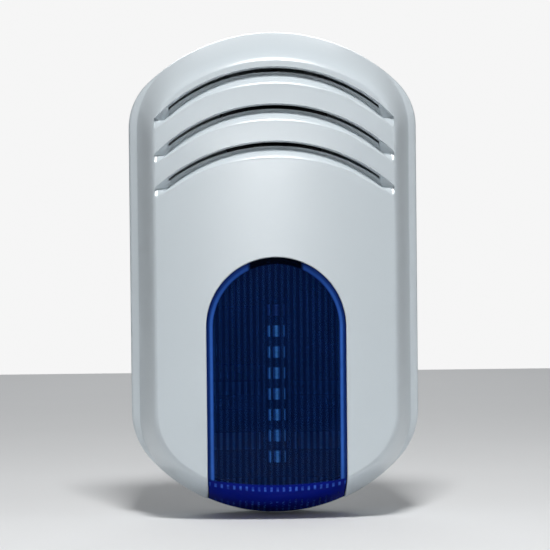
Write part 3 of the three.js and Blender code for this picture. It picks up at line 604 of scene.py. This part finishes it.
def lens_materials():
    t = Tree("beacon_blue")
    side, arch, painted_edge_shadow, chin, rib, rib_end_highlights_and_marks, painted_bevel_highlight = lens_zone(t)
    # painted shading: the window colour is lighter on the rib crests
    colour = t.mixc(side, t.mixc(rib, (0.0075, 0.034, 0.195, 1), (0.012, 0.050, 0.235, 1)), t.mixc(painted_bevel_highlight, (0.008, 0.030, 0.17, 1), (0.036, 0.135, 0.54, 1)))
    # the chin takes the painted rib-end highlights and marks in a lighter blue
    colour = t.mixc(chin, colour, t.mixc(rib_end_highlights_and_marks, (0.003, 0.011, 0.25, 1), (0.055, 0.16, 0.80, 1)))
    # painted shadow: a near-black line round the outer border of the lens stands in for the shadow at the opening's
    # edge
    colour = t.mixc(painted_edge_shadow, colour, (0.003, 0.010, 0.09, 1))
    w = t.math("ADD", 0.16, t.math("MULTIPLY", side, 0.64))
    # painted shadow: over the arch band the milky diffuse is cut away
    w = t.math("MULTIPLY", w, t.math("SUBTRACT", 1.0, t.math("MULTIPLY", arch, 0.9)))
    w = t.math("ADD", w, t.math("MULTIPLY", chin, 0.5), clamp=True)
    vary = t.range(t.noise(45, 4, 0.6), 0.3, 0.7, 0.85, 1.12)
    w = t.math("MULTIPLY", w, vary)
    nrm = t.bump(t.noise(150, 3, 0.4), 0.02, 0.0002)
    # painted shading: the see-through tint is darker in the rib troughs
    tint = t.mixc(rib, LENS["dark"], LENS["clear"])
    # painted shadow: over the arch band the see-through tint goes near black, standing in for the cover edge's shadow
    # on the lens
    tr = t.n("BsdfTransparent"); t.l(t.mixc(arch, tint, (0.03, 0.04, 0.07, 1)), tr.inputs[0])
    df = t.n("BsdfDiffuse"); t.l(colour, df.inputs[0])
    gl = t.n("BsdfGlossy"); gl.inputs["Roughness"].default_value = 0.08; t.l(nrm, gl.inputs["Normal"])
    m1 = t.n("MixShader"); t.l(w, m1.inputs[0]); t.l(tr.outputs[0], m1.inputs[1]); t.l(df.outputs[0], m1.inputs[2])
    fr = t.n("Fresnel"); fr.inputs[0].default_value = 1.5; t.l(nrm, fr.inputs["Normal"])
    m2 = t.n("MixShader"); t.l(t.math("MULTIPLY", fr.outputs[0], 0.08), m2.inputs[0])
    t.l(m1.outputs[0], m2.inputs[1]); t.l(gl.outputs[0], m2.inputs[2])
    t.l(m2.outputs[0], t.out.inputs[0])
    MATS["beacon_blue"] = t.m
    u = Tree("beacon_blue_inside")
    side, arch, painted_edge_shadow, chin, rib, rib_end_highlights_and_marks, painted_bevel_highlight = lens_zone(u)
    rf = u.n("BsdfRefraction"); rf.inputs["Color"].default_value = LENS["inner"]; rf.inputs["IOR"].default_value = 1.49; rf.inputs["Roughness"].default_value = 0.04
    # painted shading: the inner window colour is lighter on the rib crests
    window = u.mixc(rib, (0.08, 0.11, 0.26, 1), (0.24, 0.22, 0.40, 1))
    df = u.n("BsdfDiffuse"); u.l(u.mixc(u.math("ADD", side, chin, clamp=True), window, (0.04, 0.13, 0.50, 1)), df.inputs[0])
    b = u.n("MixShader"); u.l(u.math("ADD", 0.42, u.math("MULTIPLY", u.math("ADD", side, chin, clamp=True), 0.4)), b.inputs[0])
    u.l(rf.outputs[0], b.inputs[1]); u.l(df.outputs[0], b.inputs[2])
    u.l(b.outputs[0], u.out.inputs[0])
    MATS["beacon_blue_inside"] = u.m


lens_materials()


def dress(obj, body, slot, *nodes, mats=None):
    """Gives a finished piece its material, its body and the CAD nodes it stands for."""
    obj.data.materials.clear()
    for m in mats or [slot]:
        obj.data.materials.append(MATS[m])
    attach(obj, body)
    if nodes:
        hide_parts(*nodes)
    return obj


# ---------------------------------------------------------------- cover surfaces
def outer_rings(d=0.0, back=SKIRT_BACK, fine=True):
    r = []
    A, B, C, D = inset(SKIRT, d), inset(SKIRT_F, d), inset(SHOULDER, d), inset(DOME, d)
    yB, yC, yD = SKIRT_FRONT + 0.2 * d, -30.5 + 0.6 * d, CREASE_Y + 0.3 * d
    for t in (0, 0.04, 0.3, 0.6, 0.85):
        r.append(ring(mix(A, B, t), back + (yB - back) * t))
    Q, yQ = mix(B, C, 0.033), -29.08 + 0.4 * d
    for i in range(9):
        t = i / 8
        r.append(ring((1 - t) ** 2 * B + 2 * t * (1 - t) * Q + t * t * C, (1 - t) ** 2 * yB + 2 * t * (1 - t) * yQ + t * t * yC))
    for t in (0.3, 0.6):
        r.append(ring(mix(C, D, t), yC + (yD - yC) * t))
    f1 = 0.02; E = inset(mix(DOME, FACE, f1), d); g1 = float(prof(f1)); yE = CREASE_Y + (FACE_Y - CREASE_Y) * g1 + d * (0.3 + 0.6 * g1)
    P, yP = mix(C, D, 0.82), yC + (yD - yC) * 0.82
    for i in range(7):
        t = i / 6
        r.append(ring((1 - t) ** 2 * P + 2 * t * (1 - t) * D + t * t * E, (1 - t) ** 2 * yP + 2 * t * (1 - t) * yD + t * t * yE))
    n = 34 if fine else 12
    for i in range(1, n + 1):
        t = i / n; f = 1 - (1 - t) ** 1.35 * (1 - f1); g = float(prof(f))
        r.append(ring(inset(mix(DOME, FACE, f), d), CREASE_Y + (FACE_Y - CREASE_Y) * g + d * (0.3 + 0.6 * g)))
    for k in ((0.97, 0.93, 0.87, 0.8, 0.72, 0.64, 0.56, 0.48, 0.4, 0.33, 0.26, 0.2, 0.14, 0.09, 0.05, 0.02) if fine else (0.8, 0.6, 0.4, 0.2, 0.05)):
        e = d * max(0, k - 0.2) / 0.8
        r.append(ring(inset(face_outline(k), e), FRONT_Y + (FACE_Y - FRONT_Y) * k * k + d))
    return r


def inner_rings(d, back):
    r = [ring(inset(SKIRT, d), back), ring(inset(SKIRT_F, d), SKIRT_FRONT + 0.2 * d)]
    for i in range(0, 21):
        f = 1 - (1 - i / 20) ** 1.3; g = float(prof(f))
        r.append(ring(inset(mix(DOME, FACE, f), d), CREASE_Y + (FACE_Y - CREASE_Y) * g + d * (0.3 + 0.6 * g)))
    for k in (0.85, 0.7, 0.55, 0.4, 0.25, 0.1, 0.02):
        e = d * max(0, k - 0.2) / 0.8
        r.append(ring(inset(face_outline(k), e), FRONT_Y + (FACE_Y - FRONT_Y) * k * k + d))
    return r


def arch_path(h, z0=-185.0, n=96, step=4.0):
    """Points (x, z, nx, nz) up the right side, over the arch and down the left."""
    p = []
    m = int((LENS_ARCH_Z - z0) / step)
    for i in range(m):
        p.append((h, z0 + (LENS_ARCH_Z - z0) * i / m, 1, 0))
    for i in range(n + 1):
        a = math.pi * i / n
        p.append((h * math.cos(a), LENS_ARCH_Z + h * math.sin(a), math.cos(a), math.sin(a)))
    for i in range(m - 1, -1, -1):
        p.append((-h, z0 + (LENS_ARCH_Z - z0) * i / m, -1, 0))
    return p


def arch_prism(h, y0, y1, z0=-185.0, n=96):
    p = arch_path(h, z0, n)
    v = [(x, y, z) for y in (y0, y1) for x, z, _, _ in p]
    k = len(p)
    f = [(i, (i + 1) % k, k + (i + 1) % k, k + i) for i in range(k)] + [list(range(k)), [k + i for i in range(k)]]
    return make("tool", v, f)


def louvre_up(zt, R, x):
    return zt - R + math.sqrt(R * R - x * x)


def louvre_low(zt, R, ax):
    """Lower edge of the pocket, and the foot of its back wall, at a distance from the middle."""
    u = louvre_up(zt, R, ax); lo = 11.3 - 3.5 * min(1, ax / LOUVRE_HALF) ** 2
    off = 4.9 + 2.7 * min(1, ax / SLIT_HALF) ** 2.5
    if ax > SLIT_HALF - 3:
        off = min(max(off, 7.3), u - (louvre_up(zt, R, LOUVRE_HALF) - 0.7)) if ax > SLIT_HALF else off
    return u, u - lo, min(off, lo - 0.55)


def louvre_tools(zt, R):
    """Hood, pocket and slit of one louvre."""
    xs = np.linspace(-LOUVRE_HALF - 1.8, LOUVRE_HALF + 1.8, 49)
    hood = []
    for x in xs:
        u = louvre_up(zt, R, x); l = u - (11.3 - 3.5 * min(1, abs(x) / LOUVRE_HALF) ** 2)
        y = float(surf(x * 0.97, u - 3)[0])
        off = louvre_low(zt, R, min(abs(x), LOUVRE_HALF))[2]
        hood.append(np.array([(x, y + 1.2, u + 2.2), (x, y + LOUVRE_DEEP + 2, u + 2.2), (x, y + LOUVRE_DEEP + 2, u - max(off, 4.2) - 1.6), (x, y + 1.2, l - 2.4)]))
    # stations: finer where the ends run out
    a = np.linspace(0, SLIT_HALF, 37); b = np.linspace(SLIT_HALF, LOUVRE_HALF - 2.6, 6)[1:]
    c = LOUVRE_HALF - 2.6 * (1 - np.sin(np.linspace(0, math.pi / 2, 8)[1:]))
    pos = np.concatenate([a, b, c]); xs = np.concatenate([-pos[::-1], pos[1:]])
    pocket = []
    for x in xs:
        ax = abs(x); u = louvre_up(zt, R, x); l = u - (11.3 - 3.5 * min(1, ax / LOUVRE_HALF) ** 2)
        if ax > LOUVRE_HALF - 2.6:
            q = (ax - (LOUVRE_HALF - 2.6)) / 2.6
            l = l + 3.2 * (1 - math.sqrt(max(0.0, 1 - q * q)))
        D = LOUVRE_DEEP if ax <= SLIT_HALF else LOUVRE_DEEP + (2.2 - LOUVRE_DEEP) * (ax - SLIT_HALF) / (LOUVRE_HALF - SLIT_HALF)
        D = max(D, 2.2); zs = np.linspace(u + 0.5, l - 3.4, 24); ys = surf(np.full(24, x), zs)
        S = lambda z: float(np.interp(-z, -zs, ys))
        Su, Sl = S(u), S(l)
        r = 0.35
        sec = [(-90.0, u + r), (S(u + r) - 0.02, u + r)]
        for i in range(1, 4):
            t = math.pi / 2 * i / 3
            sec.append((Su + r * (1 - math.cos(t)), u + r * (1 - math.sin(t))))
        yb = Su + D; zb = max(u - louvre_low(zt, R, ax)[2], l + 0.5)
        lean = 0.3 * min(u - zb, 5.5)
        sec += [(yb - 0.25 - lean, u), (yb - lean, u - 0.25), (yb, zb)]
        # the scoop runs out to the face through a fillet
        hh, m1, m2 = zb - l, 0.55, 2.2
        if m1 * 1.05 < D / hh < m2 * 0.95:
            drop_z = (D - m1 * hh) / (m2 - m1); cy, cz = yb - m2 * drop_z, zb - drop_z
            for i in range(1, 8):
                t = i / 8 * 0.8
                sec.append(((1 - t) ** 2 * yb + 2 * t * (1 - t) * cy + t * t * Sl, (1 - t) ** 2 * zb + 2 * t * (1 - t) * cz + t * t * l))
            vy, vz = Sl - sec[-1][0], l - sec[-1][1]
        else:
            sec += [(yb + (Sl - yb) * 0.05 * i, zb + (l - zb) * 0.05 * i) for i in range(1, 8)]
            vy, vz = Sl - sec[-1][0], l - sec[-1][1]
        L = math.hypot(vy, vz); dirs = (vy / L, vz / L)
        sl = (S(l - 1.5) - S(l + 1.5)) / -3.0  # dy/dz of the face
        fd = np.array([-sl, -1.0]); fd /= np.linalg.norm(fd)
        ang = math.acos(max(-1, min(1, dirs[0] * fd[0] + dirs[1] * fd[1])))
        rr = min(6.0, 0.42 * L / max(0.05, math.tan(ang / 2)))
        tl = rr * math.tan(ang / 2)
        p0 = np.array([Sl, l]) - np.array(dirs) * tl; p2 = np.array([Sl, l]) + fd * tl; p1 = np.array([Sl, l])
        for i in range(9):
            t = i / 8 * 0.93
            q = (1 - t) ** 2 * p0 + 2 * t * (1 - t) * p1 + t * t * p2
            sec.append((float(q[0]), float(q[1])))
        t = 0.93; tang = 2 * (1 - t) * (p1 - p0) + 2 * t * (p2 - p1); tang /= np.linalg.norm(tang)
        e = np.array(sec[-1]) + tang * 1.2 + np.array([-0.25, 0])
        sec += [(float(e[0]), float(e[1])), (-90.0, float(e[1]))]
        pocket.append(np.array([(x, y, z) for y, z in sec]))
    xs = np.linspace(-SLIT_HALF, SLIT_HALF, 61); slit = []
    for x in xs:
        u = louvre_up(zt, R, x); y = float(surf(x * 0.97, u - 3)[0])
        q = (x / SLIT_HALF) ** 2; s0, s1 = 0.7 + 0.7 * q, 3.35 - 0.25 * q
        slit.append(np.array([(x, y + LOUVRE_DEEP - 3.2, u - s0), (x, y + 13, u - s0), (x, y + 13, u - s1), (x, y + LOUVRE_DEEP - 3.2, u - s1)]))
    return sections(hood), sections(pocket), sections(slit)


def lip_tool(h, r, z0=-185.0):
    """Rounds the edge of the beacon opening, following the cover surface."""
    rows = []
    for x, z, nx, nz in arch_path(h, z0, 120, 2.0):
        offs = [r * math.sin(math.pi / 2 * i / 5) for i in range(6)]
        offs = [r * (1 - math.cos(math.pi / 2 * i / 6)) for i in range(7)]
        px = np.array([x + nx * o for o in offs]); pz = np.array([z + nz * o for o in offs])
        ys = surf(px, pz)
        pts = [(x - nx * 2, -92.0, z - nz * 2), (x - nx * 2, float(ys[0]) + r, z - nz * 2)]
        for o, a, b, y in zip(offs, px, pz, ys):
            pts.append((a, float(y) + r - math.sqrt(max(0, r * r - (r - o) ** 2)), b))
        last = pts[-1]
        pts.append((last[0], -92.0, last[2]))
        rows.append(np.array(pts))
    return sections(rows)


def build_cover():
    base = loft(outer_rings(), "front_cover")
    ref = copy_of(base)
    ops = [(CUT, loft(inner_rings(WALL, SKIRT_BACK + 6)))]
    cutters = []
    for zt, R in LOUVRES:
        hood, pocket, slit = louvre_tools(zt, R)
        csg(hood, [(AND, loft(inner_rings(0.9, SKIRT_BACK)))])
        ops.append((ADD, hood)); cutters += [(CUT, pocket), (CUT, slit)]
    ops += cutters
    ops.append((CUT, arch_prism(LENS_HALF, -95, LENS_BACK + 0.3)))
    ops.append((CUT, lip_tool(LENS_HALF - 0.001, 0.85)))
    for m in (-1, 1):
        ops.append((ADD, rod("x", (HINGE_Y, HINGE_Z), m * 30.5, m * 37, 3.6, 40, 0.25)))
        ops.append((ADD, box(m * 30.7, m * 36.8, HINGE_Y - 3.3, HINGE_Y + 3.3, HINGE_Z, 163.9)))
        ops.append((CUT, rod("x", (HINGE_Y, HINGE_Z), m * 29, m * 38.5, 1.85, 32)))
    ops.append((ADD, rod("z", (0, -13), -168.6, -156.5, 6.5, 48, 0.2)))
    ops += [(CUT, rod("z", (0, -13), -172, -159.5, 4.7, 48)), (CUT, rod("z", (0, -13), -160, -155, 2.5, 32))]
    ops += [(ADD, rod("y", (-72, 20), -73.4, -32, 3, 32, 0.3)), (ADD, box(-72.8, -71.2, -73.4, -45, 12, 28))]
    for x, z in ((-60.5, -24), (60.5, -24), (-60.5, -122), (60.5, -122)):
        y = float(surf(x, z)[0])
        ops += [(ADD, rod("y", (x, z), y + 1, y + 6.2, 3.6, 32, 0.15)), (CUT, rod("y", (x, z), y + 2.2, y + 7, 1.5, 24))]
    csg(base, ops, "front_cover_shell")
    smooth(base, 32, ref)
    drop(ref)
    dress(base, "cover", "cover_white", "front_cover")
    return base


RIB = 4.3


def lens_slab():
    """The lens skin as a slab: outer side smooth, inner side ribbed behind the window."""
    nx = 8; half_n = 11.5 * RIB
    xs = np.arange(-int(half_n / RIB * nx) - 2, int(half_n / RIB * nx) + 3) * RIB / nx
    xs = np.concatenate([[-50.6], xs[np.abs(xs) < 50.2], [50.6]])
    zs_top = 15.5
    ts = np.concatenate([np.linspace(0, 0.30, 60, endpoint=False), np.linspace(0.30, 0.985, 70, endpoint=False), np.linspace(0.985, 1, 8)])
    fr = np.linspace(1, 0, 26)
    V, cols = [], []

    def zlow(o, x):
        return o[4] + o[5] - math.sqrt(max(1.0, o[5] ** 2 - x * x))

    for side in (0, 1):
        grid = []
        for x in xs:
            ax = abs(x)
            if side == 0:
                d = 0.7
            else:
                t = (x / RIB + 0.5) % 1.0
                rib = 0.82 * (1 - (2 * t - 1) ** 2)
            zf = zlow(inset(FACE, 0.7 if side == 0 else 3.6), x)
            z = zs_top + (zf - zs_top) * ts
            if side == 1:
                zz = np.maximum(0, z - LENS_ARCH_Z)
                rad = np.sqrt(x * x + zz * zz)
                m = np.clip((43.9 - rad) / 0.35, 0, 1) * np.clip((z + 149.6) / 0.5, 0, 1)
                d = 3.3 + m * (rib - 0.0)
            y = surf(np.full(len(z), x), z, d)
            col = [(x, float(a), float(b)) for a, b in zip(y, z)]
            dd = 0.7 if side == 0 else 3.3
            for f in fr[1:]:
                g = float(prof(f)); o = inset(mix(DOME, FACE, f), dd)
                col.append((x, CREASE_Y + (FACE_Y - CREASE_Y) * g + dd * (0.3 + 0.6 * g), zlow(o, x)))
            o = inset(SHOULDER, dd); col.append((x, -30.5 + 0.6 * dd, zlow(o, x)))
            o = inset(SKIRT_F, dd); col.append((x, SKIRT_FRONT + 0.2 * dd, zlow(o, x)))
            col.append((x, LENS_BACK, zlow(o, x)))
            grid.append(col)
        V.append(np.array(grid))
    nc, nr = V[0].shape[:2]
    v = np.concatenate([V[0].reshape(-1, 3), V[1].reshape(-1, 3)]); off = nc * nr
    f = []
    for s in (0, off):
        for i in range(nc - 1):
            for j in range(nr - 1):
                a = s + i * nr + j
                f.append((a, a + 1, a + nr + 1, a + nr))
    for i in range(nc - 1):
        for j in (0, nr - 1):
            a = i * nr + j
            f.append((a, a + nr, off + a + nr, off + a))
    for j in range(nr - 1):
        for i in (0, nc - 1):
            a = i * nr + j
            f.append((a, a + 1, off + a + 1, off + a))
    return make("beacon_lens_shell", v, f)


def build_lens():
    slab = lens_slab()
    ref = copy_of(slab)
    outer, inner = loft(inner_rings(4.0, LENS_BACK)), loft(inner_rings(6.0, LENS_BACK + 6))
    rim = csg(outer, [(CUT, inner), (AND, arch_prism(56.3, -95, -50, -150)), (CUT, arch_prism(45.4, -96, -49, -190))])
    csg(slab, [(AND, arch_prism(LENS_HALF - 0.4, -95, LENS_BACK)), (ADD, rim)], "beacon_lens_shell")
    smooth(slab, 40, ref, tol=0.00002, ref_dot=0.9)
    # outer skin or inside
    tree = BVHTree.FromPolygons([v.co[:] for v in ref.data.vertices], [tuple(p.vertices) for p in ref.data.polygons])
    half_faces = (len(ref.data.polygons)) // 2
    dress(slab, "cover", "beacon_blue", "beacon_lens", mats=["beacon_blue", "beacon_blue_inside"])
    cen = [p.center.copy() for p in slab.data.polygons]
    x = np.array([c[0] for c in cen]) * 1000; z = np.array([c[2] for c in cen]) * 1000; y = np.array([c[1] for c in cen]) * 1000
    s07 = surf(x, z, 0.7)
    for i, p in enumerate(slab.data.polygons):
        skin = y[i] < s07[i] + 0.25 or (p.normal[2] < -0.2 and z[i] < -148)
        p.material_index = 0 if skin and (p.normal[1] < -0.05 or p.normal[2] < -0.3) else 1
    drop(ref)
    return slab


cover = build_cover()
lens = build_lens()


# ---------------------------------------------------------------- carried-over CAD nodes
slots = {s["node"]: s["material_slot"] for s in frame["record"]["subparts"]}
shade = bpy.data.node_groups.new("round_faces", "GeometryNodeTree")
shade.interface.new_socket(name="Geometry", in_out="INPUT", socket_type="NodeSocketGeometry")
shade.interface.new_socket(name="Geometry", in_out="OUTPUT", socket_type="NodeSocketGeometry")
gi, go, gs = shade.nodes.new("NodeGroupInput"), shade.nodes.new("NodeGroupOutput"), shade.nodes.new("GeometryNodeSetShadeSmooth")
shade.links.new(gi.outputs[0], gs.inputs[0]); shade.links.new(gs.outputs[0], go.inputs[0])
for node, obj in frame["nodes"].items():
    obj.data.materials.clear()
    obj.data.materials.append(MATS[slots[node]])
    if obj.hide_render:
        continue
    obj.modifiers.new("shade", "NODES").node_group = shade
    b = obj.modifiers.new("edge", "BEVEL")
    b.width = 0.00022; b.segments = 2; b.limit_method = "ANGLE"; b.angle_limit = math.radians(38); b.harden_normals = True

# ---------------------------------------------------------------- stage, lights, camera
floor_me = bpy.data.meshes.new("floor")
R = 1.6
floor_me.from_pydata([(-R, -0.42, -0.1706), (R, -0.42, -0.1706), (R, R, -0.1706), (-R, R, -0.1706)], [], [(0, 1, 2, 3)])
floor = bpy.data.objects.new("floor", floor_me)
scene.collection.objects.link(floor)
ft = Tree("floor_pale")
fp = ft.principled(Base_Color=ft.mixc(ft.noise(6, 2), (0.72, 0.73, 0.74, 1), (0.74, 0.75, 0.76, 1)), Roughness=0.85)
fp.inputs["Specular IOR Level"].default_value = 0.1
ft.l(fp.outputs[0], ft.out.inputs[0])
floor_me.materials.append(ft.m)

world = bpy.data.worlds.new("studio")
scene.world = world
world.use_nodes = True
wt = world.node_tree
wt.nodes.clear()
wo = wt.nodes.new("ShaderNodeOutputWorld"); bg = wt.nodes.new("ShaderNodeBackground"); bg2 = wt.nodes.new("ShaderNodeBackground")
tc = wt.nodes.new("ShaderNodeTexCoord"); sp = wt.nodes.new("ShaderNodeSeparateXYZ"); mr = wt.nodes.new("ShaderNodeMapRange")
wt.links.new(tc.outputs["Generated"], sp.inputs[0]); wt.links.new(sp.outputs[1], mr.inputs[0])
mr.inputs[1].default_value = -0.95; mr.inputs[2].default_value = -0.3; mr.inputs[3].default_value = 0.01; mr.inputs[4].default_value = 0.21
bg.inputs[0].default_value = (0.97, 0.985, 1.0, 1); wt.links.new(mr.outputs[0], bg.inputs[1])
bg2.inputs[0].default_value = (1, 1, 1, 1); bg2.inputs[1].default_value = 0.92
lp = wt.nodes.new("ShaderNodeLightPath"); mx = wt.nodes.new("ShaderNodeMixShader")
wt.links.new(lp.outputs["Is Camera Ray"], mx.inputs[0]); wt.links.new(bg.outputs[0], mx.inputs[1]); wt.links.new(bg2.outputs[0], mx.inputs[2])
wt.links.new(mx.outputs[0], wo.inputs[0])


def area(name, loc, target, size, power, col=(1, 1, 1)):
    l = bpy.data.lights.new(name, "AREA"); l.shape = "RECTANGLE"; l.size, l.size_y = size; l.energy = power; l.color = col
    o = bpy.data.objects.new(name, l)
    scene.collection.objects.link(o)
    o.location = loc
    o.rotation_euler = (Vector(target) - Vector(loc)).to_track_quat("-Z", "Y").to_euler()
    return o


def polar(az, el, d, t=(0, -0.05, 0)):
    a, e = math.radians(az), math.radians(el)
    return (t[0] + d * math.sin(a) * math.cos(e), t[1] - d * math.cos(a) * math.cos(e), t[2] + d * math.sin(e))


area("key", polar(2, 59, 1.6), (0, -0.05, 0), (0.34, 0.36), 24.0, (1, 0.995, 0.985))
area("front", polar(0, 4, 2.6), (0, -0.05, 0), (0.16, 0.14), 6.8, (0.98, 0.99, 1))
area("left_fill", polar(-65, 15, 1.8), (0, -0.05, 0), (0.5, 0.9), 2.7, (0.98, 0.99, 1))
area("right_fill", polar(62, 15, 1.8), (0, -0.05, 0), (0.5, 0.9), 3.6, (0.98, 0.99, 1))
area("back_fill", polar(180, 26, 2.2), (0, -0.02, 0), (1.0, 0.8), 7, (0.98, 0.99, 1))

yaw, elev, roll, dist, target = math.radians(-1.5), math.radians(1.6), math.radians(-0.58), 2.0, Vector((0.00045, -0.04, -0.0012))
cam_data = bpy.data.cameras.new("camera"); cam = bpy.data.objects.new("camera", cam_data)
scene.collection.objects.link(cam)
cam_data.sensor_width = 36.0
cam_data.lens = 2846.0 * 36 / 550
cam_data.clip_start = 0.01
back = Vector((math.sin(yaw) * math.cos(elev), -math.cos(yaw) * math.cos(elev), math.sin(elev)))
cam.location = target + back * dist
cam.rotation_euler = ((-back).to_track_quat("-Z", "Y") @ Matrix.Rotation(roll, 3, "Z").to_quaternion()).to_euler()
scene.camera = cam
scene.view_settings.view_transform = "Standard"

for r in REPORT:
    print("solid", r)
